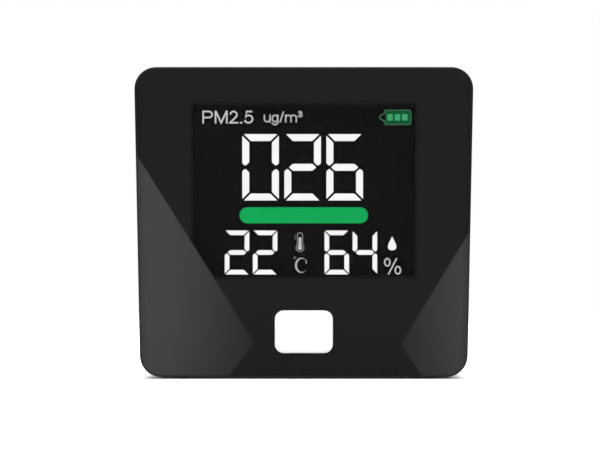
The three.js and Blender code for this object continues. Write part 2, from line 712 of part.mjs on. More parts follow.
function makeFanFrame() {
  const size = 18.4;
  const post = 1.7;
  const inlet = { left: FAN.x - size / 2 - OVERRUN, right: FAN.x - 5, bottom: -8.4, top: -3 };
  const frame = cut(
    solid(block(size, size, FAN.x, 0, FAN_LEVELS.face, FAN_LEVELS.back)),
    bar(FAN.bore, FAN.x, 0, FAN_LEVELS.floor, FAN_LEVELS.back + OVERRUN, 32),
    box(inlet.left, inlet.right, FAN_LEVELS.floor, FAN_LEVELS.back + OVERRUN, inlet.bottom, inlet.top),
  );
  return cut(
    join(frame, bar(post, FAN.x, 0, FAN_LEVELS.floor - FIT_GAP, FAN_LEVELS.postBack)),
    bar(FAN.bearing, FAN.x, 0, SHAFT.front - 2 * FIT_GAP, FAN_LEVELS.postBack + OVERRUN),
  );
}

function makeFanCoil() {
  const coil = { outer: 3.3, inner: 1.85 };
  return cut(
    solid(bar(coil.outer, FAN.x, 0, FAN_LEVELS.coilFace, FAN_LEVELS.coilBack, 20)),
    bar(coil.inner, FAN.x, 0, FAN_LEVELS.coilFace - OVERRUN, FAN_LEVELS.coilBack + OVERRUN),
  );
}

// A cup-shaped hub that spins over the coil, with pitched blades round it.
function makeFanRotor() {
  const hub = {
    bore: 0.55, boss: 1.3, bossFace: 8.5, inner: 3.8, roof: 9.3, face: 4.3, outer: 4.6, back: 10.2,
  };
  const blade = { inner: 4.3, outer: 7.5, chord: 6.2, thickness: 0.6, pitch: THREE.MathUtils.degToRad(35) };
  const profile = points([
    [hub.bore, hub.bossFace],
    [hub.boss, hub.bossFace],
    [hub.boss, hub.roof],
    [hub.inner, hub.roof],
    [hub.inner, hub.face],
    [hub.outer, hub.face],
    [hub.outer, hub.back],
    [hub.bore, hub.back],
    [hub.bore, hub.bossFace],
  ]);
  let rotor = solid(new THREE.LatheGeometry(profile, 24));
  for (let i = 0; i < FAN.blades; i++) {
    const fin = new THREE.BoxGeometry(blade.outer - blade.inner, blade.chord, blade.thickness)
      .rotateX(blade.pitch)
      .translate((blade.inner + blade.outer) / 2, (hub.face + hub.back) / 2, 0)
      .rotateY((2 * Math.PI * i) / FAN.blades);
    rotor = join(rotor, fin);
  }
  return rotor.translate([FAN.x, 0, 0]);
}

// The laser's lens barrel and diode lie end to end along X, above the light trap with its photodiode.
const LASER = { y: 6.6, z: 9.6, joint: -15.65 };
LASER.barrel = { radius: 2.4, end: -9 };
LASER.diode = { radius: 1.8, end: -18.3 };
const PHOTODIODE = { width: 4, height: 3.4, x: -7, z: 3, thickness: 1.2 };

// The flat cable from the sensor's plug to the main board, bent in one level plane.
function makeSensorCable() {
  const start = { x: PLUG.left - FIT_GAP, y: SENSOR_FACE + (PLUG.front + PLUG.back) / 2 };
  const half = { width: 4, thickness: 0.5 };
  const end = BOARD_BACK + 1.4;
  const path = new THREE.CatmullRomCurve3([
    new THREE.Vector3(start.x, start.y, SENSOR.z),
    new THREE.Vector3(start.x - 2, start.y, SENSOR.z),
    new THREE.Vector3(SENSOR_HEADER.x, start.y - 4, SENSOR.z),
    new THREE.Vector3(SENSOR_HEADER.x, BOARD_BACK + SENSOR_HEADER.thickness, SENSOR.z),
    new THREE.Vector3(SENSOR_HEADER.x, end, SENSOR.z),
  ]);
  const section = new THREE.Shape(points([
    [-half.width, -half.thickness],
    [half.width, -half.thickness],
    [half.width, half.thickness],
    [-half.width, half.thickness],
  ]));
  return new THREE.ExtrudeGeometry(section, { steps: 18, extrudePath: path, bevelEnabled: false });
}

add("sensor_base", makeSensorBase(), blackPlastic, particleSensor);
add("sensor_lid", makeSensorLid(), steel, particleSensor);
add("sensor_gasket", makeGasket(), foamGrey, particleSensor);
add("sensor_board", block(
  SENSOR.width - 2 * SENSOR_BOARD.margin, SENSOR.height - 2 * SENSOR_BOARD.margin, 0, 0,
  SENSOR_BOARD.face, SENSOR_BOARD.back,
), boardGreen, particleSensor);
add("fan_frame", makeFanFrame(), blackPlastic, particleSensor);
add("fan_coil", makeFanCoil(), copper, particleSensor);
add("fan_rotor", makeFanRotor(), blackPlastic, particleSensor);
add("fan_shaft", bar(FAN.shaft, FAN.x, 0, SHAFT.front, SHAFT.back), steel, particleSensor);
add("laser_barrel", barAlongX(
  LASER.barrel.radius, LASER.joint + FIT_GAP / 2, LASER.barrel.end, LASER.y, LASER.z,
), brass, particleSensor);
add("laser_diode", barAlongX(
  LASER.diode.radius, LASER.diode.end, LASER.joint - FIT_GAP / 2, LASER.y, LASER.z,
), tin, particleSensor);
add("photodiode", block(
  PHOTODIODE.width, PHOTODIODE.height, PHOTODIODE.x, PHOTODIODE.z,
  SENSOR_BOARD.back + FIT_GAP, SENSOR_BOARD.back + FIT_GAP + PHOTODIODE.thickness,
), chipBlack, particleSensor);
add("sensor_plug", box(
  PLUG.left, PLUG.right, PLUG.front, PLUG.back, -PLUG.height / 2, PLUG.height / 2,
), whitePlastic, particleSensor);
add("sensor_cable", makeSensorCable(), greyCable);

export default monitor;
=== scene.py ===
"""The looks of a desktop air quality monitor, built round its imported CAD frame.

Metres throughout, in the frame's own axes: +X to the viewer's right, the face looks along -Y, +Z up.
"""

import json
import math

import bmesh
import bpy
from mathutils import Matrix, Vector


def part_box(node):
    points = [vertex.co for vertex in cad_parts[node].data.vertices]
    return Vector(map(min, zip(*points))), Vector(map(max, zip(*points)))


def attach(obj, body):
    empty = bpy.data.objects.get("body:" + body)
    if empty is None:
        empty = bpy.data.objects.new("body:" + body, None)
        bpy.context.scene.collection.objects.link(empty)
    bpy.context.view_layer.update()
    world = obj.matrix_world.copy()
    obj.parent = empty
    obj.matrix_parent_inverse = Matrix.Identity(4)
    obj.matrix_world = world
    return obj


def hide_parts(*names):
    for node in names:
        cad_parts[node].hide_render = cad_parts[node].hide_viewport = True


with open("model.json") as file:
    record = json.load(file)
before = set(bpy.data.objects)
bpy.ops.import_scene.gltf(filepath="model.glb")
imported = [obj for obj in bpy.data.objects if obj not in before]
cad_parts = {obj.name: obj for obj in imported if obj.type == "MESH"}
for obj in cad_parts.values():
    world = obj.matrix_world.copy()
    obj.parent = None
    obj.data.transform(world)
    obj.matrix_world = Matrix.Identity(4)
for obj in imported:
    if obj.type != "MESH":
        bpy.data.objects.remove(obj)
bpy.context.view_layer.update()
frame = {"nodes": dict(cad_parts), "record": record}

MM = 0.001
HOUSING = "housing"
BUTTON = "front_button"
SHARP_ANGLE = math.radians(40)  # edges that turn more than this stay sharp in the shading
SAME_PLACE = 1e-7  # two points nearer than this, in metres, are the same point

# ---------------------------------------------------------------- sizes, from the frame where it has them

LENS_LOW, LENS_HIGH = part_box("front_lens")
CASE_LOW, CASE_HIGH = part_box("front_housing")
CAP_LOW, CAP_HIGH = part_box("button_cap")
POLARIZER_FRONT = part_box("display_front_polarizer")[0].y

# The face: a little wider at the top than at the bottom.
FACE_BOTTOM = CASE_LOW.z
FACE_HEIGHT = CASE_HIGH.z - CASE_LOW.z
FACE_TOP_WIDTH = 80.4 * MM
FACE_BOTTOM_WIDTH = 77.4 * MM
CORNER_RADIUS = 5.2 * MM
CORNER_STEPS = 18
LENS_FACE = LENS_LOW.y
LENS_BACK = LENS_HIGH.y
LENS_INSET = 0.1 * MM  # how much smaller the lens is than the face, on each side
LENS_EDGE = 0.6 * MM  # the radius of the lens's front edge

BUTTON_WIDTH = 13.7 * MM
BUTTON_HEIGHT = 10.1 * MM
BUTTON_RADIUS = 2.1 * MM
BUTTON_GAP = 0.25 * MM  # between the button and the lens, all round
BUTTON_Z = (CAP_LOW.z + CAP_HIGH.z) / 2
BUTTON_FACE = CAP_LOW.y

# The see-through part of the lens, and how far to each side of its edge the print fades.
WINDOW_WIDTH = 52.7 * MM
WINDOW_LOW = FACE_BOTTOM + 23.7 * MM
WINDOW_HIGH = FACE_BOTTOM + 64.55 * MM
WINDOW_FADE = 0.8 * MM
WINDOW_CORNER = 0.8 * MM  # the radius of its three square corners
WINDOW_CUT_CORNER = 0.25 * MM  # the radius of the two corners that the left facet cuts
WINDOW_CUT_GAP = 0.25 * MM  # between the cut edge and the facet

# The facets, two angled planes whose grey is painted reflection on the flat lens. Each has a long edge from
# side to point, and a short one from point to foot on the face's bottom edge. Places are (x, z) and foot is
# an x, in millimetres from the middle of the bottom edge. The painted reflection's grey goes from dark to
# pale along x, between the two ends of fade.
FACET_LEFT = {
    "side": (-39.2, 52.2), "point": (-11.7, 8.3), "foot": -17.9,
    "fade": (-12.5, -31.0), "dark": 0.0178, "pale": 0.0406,
}
FACET_RIGHT = {
    "side": (39.2, 34.6), "point": (22.9, 7.9), "foot": 28.1,
    "fade": (22.9, 36.4), "dark": 0.0178, "pale": 0.0353,
}

# Lit shapes are thin plates just in front of the display's front polarizer.
LIT_GAP = 0.01 * MM
LIT_THICKNESS = 0.04 * MM
LIT_BACK = POLARIZER_FRONT - LIT_GAP
LIT_FRONT = LIT_BACK - LIT_THICKNESS

# ---------------------------------------------------------------- outlines, as lists of (x, z)


def rounded_outline(corners, radii, steps):
    """Anticlockwise corners, each rounded by its own radius."""
    outline = []
    for i, (corner, radius) in enumerate(zip(corners, radii)):
        corner = Vector(corner)
        before = (Vector(corners[i - 1]) - corner).normalized()
        after = (Vector(corners[(i + 1) % len(corners)]) - corner).normalized()
        half = before.angle(after) / 2
        centre = corner + (before + after).normalized() * radius / math.sin(half)
        start = corner + before * radius / math.tan(half) - centre
        turn = math.pi - 2 * half
        for step in range(steps + 1):
            angle = math.atan2(start.y, start.x) + turn * step / steps
            outline.append((centre.x + radius * math.cos(angle), centre.y + radius * math.sin(angle)))
    return outline


def rounded_rectangle(width, low, high, radius, steps):
    """A rectangle that is centred on x = 0."""
    half = width / 2
    corners = [(-half, low), (half, low), (half, high), (-half, high)]
    return rounded_outline(corners, [radius] * 4, steps)


def face_outline(inset):
    """The face's outline, a little wider at the top, moved inwards."""
    slope = (FACE_TOP_WIDTH - FACE_BOTTOM_WIDTH) / FACE_HEIGHT
    lower = (FACE_BOTTOM_WIDTH + slope * inset) / 2 - inset
    upper = (FACE_TOP_WIDTH - slope * inset) / 2 - inset
    low = FACE_BOTTOM + inset
    high = FACE_BOTTOM + FACE_HEIGHT - inset
    corners = [(-lower, low), (lower, low), (upper, high), (-upper, high)]
    return rounded_outline(corners, [CORNER_RADIUS - inset] * 4, CORNER_STEPS)


def button_outline(grow):
    """The button's outline, moved outwards."""
    low = BUTTON_Z - BUTTON_HEIGHT / 2 - grow
    high = BUTTON_Z + BUTTON_HEIGHT / 2 + grow
    return rounded_rectangle(BUTTON_WIDTH + 2 * grow, low, high, BUTTON_RADIUS + grow, 12)


def facet_edge(facet):
    """Where a facet's point is, as x and z, and the slope, dz/dx, of its long edge."""
    (side_x, side_z), (point_x, point_z) = facet["side"], facet["point"]
    slope = (side_z - point_z) / (side_x - point_x)
    return point_x * MM, FACE_BOTTOM + point_z * MM, slope


def window_outline(grow):
    """The window, moved outwards: a rounded rectangle whose lower left corner is cut by the left facet."""
    half = WINDOW_WIDTH / 2 + grow
    low, high = WINDOW_LOW - grow, WINDOW_HIGH + grow
    point_x, point_z, slope = facet_edge(FACET_LEFT)
    nudge = WINDOW_CUT_GAP - grow
    cut_x = point_x + (low - point_z) / slope + nudge
    cut_z = point_z + (-half - point_x) * slope + nudge * -slope
    corners = [(cut_x, low), (half, low), (half, high), (-half, high), (-half, cut_z)]
    soft, crisp = WINDOW_CORNER + grow, WINDOW_CUT_CORNER + grow
    return rounded_outline(corners, [crisp, soft, soft, soft, crisp], 8)


# ---------------------------------------------------------------- mesh building


def new_piece(name, bm, body, material, smooth=True):
    """Turns a bmesh into a named piece that rides on a body."""
    bmesh.ops.recalc_face_normals(bm, faces=bm.faces)
    mesh = bpy.data.meshes.new(name)
    bm.to_mesh(mesh)
    bm.free()
    mesh.materials.append(material)
    piece = bpy.data.objects.new(name, mesh)
    bpy.context.scene.collection.objects.link(piece)
    if smooth:
        for polygon in mesh.polygons:
            polygon.use_smooth = True
        mesh.set_sharp_from_angle(angle=SHARP_ANGLE)
        even = piece.modifiers.new("even_normals", "WEIGHTED_NORMAL")
        even.keep_sharp = True
    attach(piece, body)
    return piece


def add_ring(bm, outline, y):
    """An outline's vertices, at one depth."""
    return [bm.verts.new((x, y, z)) for x, z in outline]


def bridge(bm, first, second):
    """Quads between two closed rings of equal count."""
    for i in range(len(first)):
        bm.faces.new((first[i - 1], first[i], second[i], second[i - 1]))


def ring_edges(bm, ring):
    """The edges between neighbours of a closed ring."""
    return [bm.edges.get((ring[i - 1], ring[i])) for i in range(len(ring))]


def plate(outlines):
    """A closed plate from pairs of an outline and its stations, the outer one first and then the openings.

    An outline is a function of how far it moves inwards, and its stations are pairs of that inset and a y.
    Where an opening's front edge is rounded, the insets are negative, because it widens towards the face.
    """
    bm = bmesh.new()
    stacks = []
    for outline, stations in outlines:
        rings = [add_ring(bm, outline(inset), y) for inset, y in stations]
        for first, second in zip(rings, rings[1:]):
            bridge(bm, first, second)
        stacks.append(rings)
    for end in (0, -1):
        edges = [edge for rings in stacks for edge in ring_edges(bm, rings[end])]
        bmesh.ops.triangle_fill(bm, use_beauty=True, use_dissolve=False, edges=edges)
    return bm


def rounded_stations(radius, face, back, steps=6):
    """Stations of an edge rounded at the face: from the face to the full outline, then to the back."""
    stations = []
    for step in range(steps + 1):
        angle = math.pi / 2 * step / steps
        inset = radius * (1 - math.sin(angle))
        stations.append((inset, face + radius * (1 - math.cos(angle))))
    stations.append((0, back))
    return stations


def add_slab(bm, polygon, front, back):
    """A flat plate with any outline that doesn't cross itself."""
    near = add_ring(bm, polygon, front)
    far = add_ring(bm, polygon, back)
    bridge(bm, near, far)
    bm.faces.new(near)
    bm.faces.new(far)


def add_ribbon(bm, path, width, front, back):
    """A flat stroke of even width along a path of (x, z). A path that ends where it began makes a ring."""
    least_cosine = 0.4  # keeps the outside of a tight bend from reaching far out
    closed = (Vector(path[0]) - Vector(path[-1])).length < SAME_PLACE
    centre = [Vector(place) for place in (path[:-1] if closed else path)]
    count = len(centre)
    sections = []
    for i, place in enumerate(centre):
        before = centre[i - 1] if closed or i else centre[0] * 2 - centre[1]
        after = centre[(i + 1) % count] if closed or i < count - 1 else centre[-1] * 2 - centre[-2]
        into, out = (place - before).normalized(), (after - place).normalized()
        along = (into + out).normalized()
        side = Vector((-along.y, along.x)) * width / 2 / max(along.dot(into), least_cosine)
        corners = [(place + side, front), (place - side, front), (place - side, back), (place + side, back)]
        sections.append([bm.verts.new((flat.x, y, flat.y)) for flat, y in corners])
    for i in range(count if closed else count - 1):
        bridge(bm, sections[i], sections[(i + 1) % count])
    if not closed:
        bm.faces.new(sections[0])
        bm.faces.new(sections[-1])


def square_ends(path, reach):
    """Makes both ends of an open path longer."""
    first, second = Vector(path[0]), Vector(path[1])
    last, before = Vector(path[-1]), Vector(path[-2])
    if (first - last).length < SAME_PLACE:
        return path
    start = first + (first - second).normalized() * reach
    end = last + (last - before).normalized() * reach
    return [start] + list(path[1:-1]) + [end]


def arc(centre, radii, start, end, steps=14):
    """Points on an ellipse's arc, angles in degrees."""
    places = []
    for step in range(steps + 1):
        angle = math.radians(start + (end - start) * step / steps)
        places.append((centre[0] + radii[0] * math.cos(angle), centre[1] + radii[1] * math.sin(angle)))
    return places


# ---------------------------------------------------------------- node graphs


class Shader:
    """A material with one Principled node, and short calls that add nodes and return their outputs."""

    def __init__(self, name, colour, roughness, metallic=0.0, specular=0.5):
        self.material = bpy.data.materials.new(name)
        self.material.use_nodes = True
        self.tree = self.material.node_tree
        self.surface = self.tree.nodes["Principled BSDF"]
        self.put("Base Color", (*colour, 1) if isinstance(colour, tuple) else colour)
        self.put("Roughness", roughness)
        self.put("Metallic", metallic)
        self.put("Specular IOR Level", specular)

    def put(self, name, value):
        """Sets an input of the Principled node to a value or to another node's output."""
        self.feed(self.surface.inputs[name], value)

    def feed(self, socket, value):
        """Links an output to a socket, or sets the socket to a plain value."""
        if isinstance(value, bpy.types.NodeSocket):
            self.tree.links.new(value, socket)
        else:
            socket.default_value = value

    def node(self, kind, inputs=None, **settings):
        """Adds a node, with its inputs' values and its settings."""
        made = self.tree.nodes.new(kind)
        for key, value in settings.items():
            setattr(made, key, value)
        for key, value in (inputs or {}).items():
            self.feed(made.inputs[key], value)
        return made

    def place(self, axis=None):
        """Where the shaded point is in the frame, or one coordinate of it."""
        where = self.node("ShaderNodeTexCoord").outputs["Object"]
        if axis is None:
            return where
        return self.node("ShaderNodeSeparateXYZ", {"Vector": where}).outputs[axis]

    def math(self, operation, first, second=0.0):
        """Arithmetic on one or two values."""
        return self.node("ShaderNodeMath", {0: first, 1: second}, operation=operation).outputs[0]

    def span(self, value, low, high, to_low=0.0, to_high=1.0):
        """Maps low..high to to_low..to_high, held at the ends."""
        inputs = {"Value": value, "From Min": low, "From Max": high, "To Min": to_low, "To Max": to_high}
        return self.node("ShaderNodeMapRange", inputs).outputs["Result"]

    def mix(self, factor, first, second):
        """A colour between two others, each a tuple or an output."""
        made = self.node("ShaderNodeMix", data_type="RGBA")
        self.feed(made.inputs["Factor"], factor)
        for socket, value in ((made.inputs[6], first), (made.inputs[7], second)):
            self.feed(socket, (*value, 1) if isinstance(value, tuple) else value)
        return made.outputs[2]

    def noise(self, size, detail):
        """Noise whose lumps are about size metres across."""
        inputs = {"Vector": self.place(), "Scale": 1 / size, "Detail": detail}
        return self.node("ShaderNodeTexNoise", inputs).outputs["Fac"]

    def cells(self, size):
        """Distance to the nearest of many scattered points, about size metres apart."""
        inputs = {"Vector": self.place(), "Scale": 1 / size}
        return self.node("ShaderNodeTexVoronoi", inputs).outputs["Distance"]

    def waves(self, size, axis, distortion=0.0):
        """Straight ridges across one axis, size metres apart."""
        radians_per_unit = 20  # how fast Blender's wave texture runs at scale 1
        scale = math.tau / (size * radians_per_unit)
        inputs = {"Vector": self.place(), "Scale": scale, "Distortion": distortion}
        return self.node("ShaderNodeTexWave", inputs, bands_direction=axis).outputs["Fac"]

    def bump(self, height, depth):
        """Relief: height runs from 0 to 1 over depth metres."""
        inputs = {"Height": height, "Distance": depth, "Strength": 1.0}
        self.put("Normal", self.node("ShaderNodeBump", inputs).outputs["Normal"])


def grey(level):
    """A colour whose three channels are alike."""
    return (level, level, level)


def scaled(colour, factor):
    """A colour made darker or lighter."""
    return tuple(min(channel * factor, 1) for channel in colour)


def moulded(name, colour, roughness, grain=0.22 * MM, depth=0.012 * MM, vary=0.12, specular=0.5):
    """Moulded plastic: a fine even texture, and colour and sheen that wander a little."""
    shader = Shader(name, colour, roughness, specular=specular)
    slow = shader.noise(9 * MM, 3)
    fine = shader.noise(grain, 2)
    shader.put("Base Color", shader.mix(slow, scaled(colour, 1 - vary), scaled(colour, 1 + vary)))
    shader.put("Roughness", shader.span(slow, 0.3, 0.7, roughness - 0.04, roughness + 0.05))
    shader.bump(fine, depth)
    return shader.material


def metal(name, colour, roughness, axis="X", line=0.12 * MM):
    """Sheet or turned metal with fine parallel marks across one axis."""
    mark_depth = 0.003 * MM
    shader = Shader(name, colour, roughness, metallic=1.0)
    slow = shader.noise(3 * MM, 3)
    shader.put("Base Color", shader.mix(slow, scaled(colour, 0.82), colour))
    shader.put("Roughness", shader.span(slow, 0.3, 0.7, roughness - 0.06, roughness + 0.1))
    shader.bump(shader.waves(line, axis, 1.5), mark_depth)
    return shader.material


def foam(name, colour):
    """Open pore holes, with painted shade inside them."""
    pore_size, pore_depth = 0.45 * MM, 0.15 * MM
    shader = Shader(name, colour, 0.95, specular=0.2)
    pores_and_shade = shader.cells(pore_size)
    # Painted shade: the colour darkens inside each pore, following the same field as the relief.
    shader.put("Base Color", shader.mix(shader.span(pores_and_shade, 0.1, 0.6), scaled(colour, 0.35), colour))
    shader.bump(pores_and_shade, pore_depth)
    return shader.material


def circuit_board(name, colour):
    """Solder mask over copper tracks: paler, raised lines, upright in some areas and level in others."""
    column_pitch, row_pitch, area_size, track_depth = 1.7 * MM, 2.3 * MM, 6 * MM, 0.03 * MM
    shader = Shader(name, colour, 0.35)
    columns = shader.waves(column_pitch, "X", 0.6)
    rows = shader.waves(row_pitch, "Z", 0.6)
    chooser = shader.math("GREATER_THAN", shader.noise(area_size, 0), 0.5)
    tracks = shader.span(shader.mix(chooser, columns, rows), 0.62, 0.7)
    shader.put("Base Color", shader.mix(tracks, colour, scaled(colour, 1.9)))
    shader.bump(tracks, track_depth)
    return shader.material


def lit(name, colour, strength):
    """A lit part of the display, its light a little uneven as behind a real diffuser."""
    dimmest = 0.94 * strength
    shader = Shader(name, grey(0.004), 0.5, specular=0.1)
    uneven = shader.span(shader.noise(7 * MM, 1), 0.3, 0.7, dimmest, strength)
    shader.put("Emission Color", (*colour, 1))
    shader.put("Emission Strength", uneven)
    return shader.material


# ---------------------------------------------------------------- the lens

# Grey levels of the print and of the smoked window, and what each fades to where they meet.
PRINT_BLACK = 0.0105
PRINT_BLACK_AT_WINDOW = 0.0069
SMOKE = 0.009
SMOKE_AT_PRINT = 0.0165
SMOKE_OPACITY = 0.3
SMUDGE_SIZE = 14 * MM


def distance_to_side(shader):
    """How far the shaded point is from the nearer side of the face, in metres."""
    slope = (FACE_TOP_WIDTH - FACE_BOTTOM_WIDTH) / 2 / FACE_HEIGHT
    rise = shader.math("SUBTRACT", shader.place("Z"), FACE_BOTTOM)
    half = shader.math("ADD", shader.math("MULTIPLY", rise, slope), FACE_BOTTOM_WIDTH / 2)
    return shader.math("SUBTRACT", half, shader.math("ABSOLUTE", shader.place("X")))


def facet_mask(shader, facet):
    """1 inside a facet and 0 outside, from its two straight edges."""
    x, z = shader.place("X"), shader.place("Z")
    point_x, point_z, slope = facet_edge(facet)
    line = shader.math("ADD", shader.math("MULTIPLY", shader.math("SUBTRACT", x, point_x), slope), point_z)
    below = shader.math("LESS_THAN", z, line)
    foot_x = facet["foot"] * MM
    lean = (point_x - foot_x) / (point_z - FACE_BOTTOM)
    rise = shader.math("SUBTRACT", z, FACE_BOTTOM)
    edge = shader.math("ADD", shader.math("MULTIPLY", rise, lean), foot_x)
    outside = shader.math("GREATER_THAN" if foot_x > 0 else "LESS_THAN", x, edge)
    return shader.math("MULTIPLY", below, outside)


def distance_to_window(shader):
    """How far outside the window the shaded point is, in metres. It is negative inside."""
    middle = (WINDOW_LOW + WINDOW_HIGH) / 2
    across = shader.math("SUBTRACT", shader.math("ABSOLUTE", shader.place("X")), WINDOW_WIDTH / 2)
    height = shader.math("ABSOLUTE", shader.math("SUBTRACT", shader.place("Z"), middle))
    above = shader.math("SUBTRACT", height, (WINDOW_HIGH - WINDOW_LOW) / 2)
    return shader.math("MAXIMUM", across, above)


def lens_material():
    """Black print with two facets of painted reflection behind a polished face, painted shade at the rim,
    and dimmer beside the window.
    """
    shader = Shader("lens_print_and_painted_light", grey(PRINT_BLACK), 0.14, specular=0.35)
    fade = shader.span(distance_to_window(shader), 0.0, WINDOW_FADE)
    colour = shader.mix(fade, grey(PRINT_BLACK_AT_WINDOW), grey(PRINT_BLACK))
    for facet in (FACET_LEFT, FACET_RIGHT):
        near, far = facet["fade"]
        along = shader.span(shader.place("X"), near * MM, far * MM)
        # Painted reflection: the facet's grey, dark to pale along x, stands for light that its angled plane
        # reflects.
        print_with_painted_reflection = shader.mix(along, grey(facet["dark"]), grey(facet["pale"]))
        colour = shader.mix(facet_mask(shader, facet), colour, print_with_painted_reflection)
    # Painted shade: the colour darkens towards the sides and on the rounded edge. The value flat is 1 on
    # the face and 0 on the rounded edge.
    rim_width = 2.0 * MM
    rim = shader.span(distance_to_side(shader), 0.0, rim_width, 0.7, 1.0)
    normal = shader.node("ShaderNodeNewGeometry").outputs["Normal"]
    facing = shader.node("ShaderNodeSeparateXYZ", {"Vector": normal}).outputs["Y"]
    flat = shader.span(shader.math("MULTIPLY", facing, -1.0), 0.9, 0.995)
    shade = shader.math("MULTIPLY", rim, shader.span(flat, 0.0, 1.0, 0.35, 1.0))
    shader.put("Base Color", shader.mix(shade, grey(0.0), colour))
    smudge = shader.span(shader.noise(SMUDGE_SIZE, 4), 0.35, 0.7, 0.12, 0.17)
    edge_roughness = shader.span(flat, 0.0, 1.0, 0.4, 0.0)
    shader.put("Roughness", shader.math("ADD", smudge, edge_roughness))
    shader.put("Specular IOR Level", shader.span(flat, 0.0, 1.0, 0.12, 0.35))
    return shader.material


def window_material():
    """Smoked clear plate: dark, polished, and clear enough for the lit display."""
    shader = Shader("lens_window_smoke", grey(SMOKE), 0.08, specular=0.35)
    edge = shader.span(distance_to_window(shader), -WINDOW_FADE, 0.0)
    shader.put("Base Color", shader.mix(edge, grey(SMOKE), grey(SMOKE_AT_PRINT)))
    shader.put("Roughness", shader.span(shader.noise(SMUDGE_SIZE, 4), 0.35, 0.7, 0.06, 0.1))
    shader.put("Alpha", SMOKE_OPACITY)
    return shader.material


def make_lens():
    """The printed plate with its two openings, and the smoked plate that fills the larger one."""
    hole_edge = 0.2 * MM
    window_gap = 0.02 * MM
    edge = rounded_stations(LENS_EDGE, LENS_FACE, LENS_BACK)
    outer_stations = [(LENS_INSET + inset, y) for inset, y in edge]
    hole_stations = [(-inset, y) for inset, y in rounded_stations(hole_edge, LENS_FACE, LENS_BACK, 3)]
    straight = [(0, LENS_FACE), (0, LENS_BACK)]
    print_with_painted_reflection = plate([
        (face_outline, outer_stations),
        (lambda inset: button_outline(BUTTON_GAP - inset), hole_stations),
        (lambda inset: window_outline(window_gap - inset), straight),
    ])
    lens = new_piece("lens_print_and_painted_light", print_with_painted_reflection, HOUSING, lens_material())
    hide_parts("front_lens")
    window = plate([(lambda inset: window_outline(-inset), straight)])
    new_piece("lens_window", window, HOUSING, window_material())


# ---------------------------------------------------------------- the push button


def button_material():
    """Satin white plastic."""
    shader = Shader("button_satin", grey(0.78), 0.38)
    slow = shader.noise(4 * MM, 3)
    shader.put("Base Color", shader.mix(slow, (0.755, 0.76, 0.765), (0.795, 0.795, 0.79)))
    shader.put("Roughness", shader.span(slow, 0.3, 0.7, 0.34, 0.42))
    shader.bump(shader.noise(0.16 * MM, 2), 0.004 * MM)
    return shader.material


def make_button():
    """The cap: a column with a softly rounded edge, and the flange that holds it behind the lens."""
    edge = 0.55 * MM
    flange_front = LENS_BACK + 2.1 * MM
    flange_back = CAP_HIGH.y - 0.25 * MM
    flange_width = 1.2 * MM
    stations = rounded_stations(edge, BUTTON_FACE, flange_front, 8)
    stations += [(-flange_width, flange_front), (-flange_width, flange_back)]
    cap = plate([(lambda inset: button_outline(-inset), stations)])
    piece = new_piece("button_top", cap, BUTTON, button_material())
    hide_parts("button_cap")


# ---------------------------------------------------------------- lit digits and legends

# A digit fills a box of this width and height, with bars of this thickness and gaps of this size. The next
# digit starts a pitch further on.
LARGE = {"width": 8.65 * MM, "height": 15.7 * MM, "bar": 1.64 * MM, "gap": 0.54 * MM, "pitch": 9.95 * MM}
SMALL = {"width": 5.8 * MM, "height": 10.4 * MM, "bar": 1.1 * MM, "gap": 0.3 * MM, "pitch": 6.65 * MM}
LIT_BARS = {"0": "abcdef", "2": "abged", "4": "fgbc", "6": "afgedc"}


def flipped_sideways(shape, width):
    """A digit's bar, seen in a mirror to its right."""
    return [(width - x, z) for x, z in shape]


def flipped_over(shape, height):
    """A digit's bar, seen in a mirror below it."""
    return [(x, height - z) for x, z in shape]


def bar_shapes(size):
    """The seven bars of a digit, from its lower left corner.

    Letters run clockwise from the top bar, a, and g is the middle bar.
    """
    w, h, t = size["width"], size["height"], size["bar"]
    slip = size["gap"] / math.sqrt(2)  # half the gap, measured along an axis
    middle = h / 2
    tip = 0.45 * t  # how far in from a digit's side its upright bars come to a point
    top = [(slip, h), (t + slip, h - t), (w - t - slip, h - t), (w - slip, h)]
    upright = [
        (0, h - slip), (t, h - t - slip), (t, middle + t / 2 + slip),
        (tip, middle + slip), (0, middle + t / 3 + slip),
    ]
    centre = [
        (tip + slip, middle), (t + slip, middle + t / 2), (w - t - slip, middle + t / 2),
        (w - tip - slip, middle), (w - t - slip, middle - t / 2), (t + slip, middle - t / 2),
    ]
    lower = flipped_over(upright, h)
    return {
        "a": top, "d": flipped_over(top, h), "g": centre,
        "f": upright, "e": lower, "b": flipped_sideways(upright, w), "c": flipped_sideways(lower, w),
    }


def lit_piece(name, bm, material):
    """A lit plate of the display, with plain flat faces."""
    new_piece(name, bm, HOUSING, material, smooth=False)


def make_number(name, text, left, low, size, material):
    """A number in seven-bar digits."""
    bm = bmesh.new()
    shapes = bar_shapes(size)
    for index, digit in enumerate(text):
        for bar in LIT_BARS[digit]:
            x0 = left + index * size["pitch"]
            add_slab(bm, [(x0 + x, low + z) for x, z in shapes[bar]], LIT_FRONT, LIT_BACK)
    lit_piece(name, bm, material)


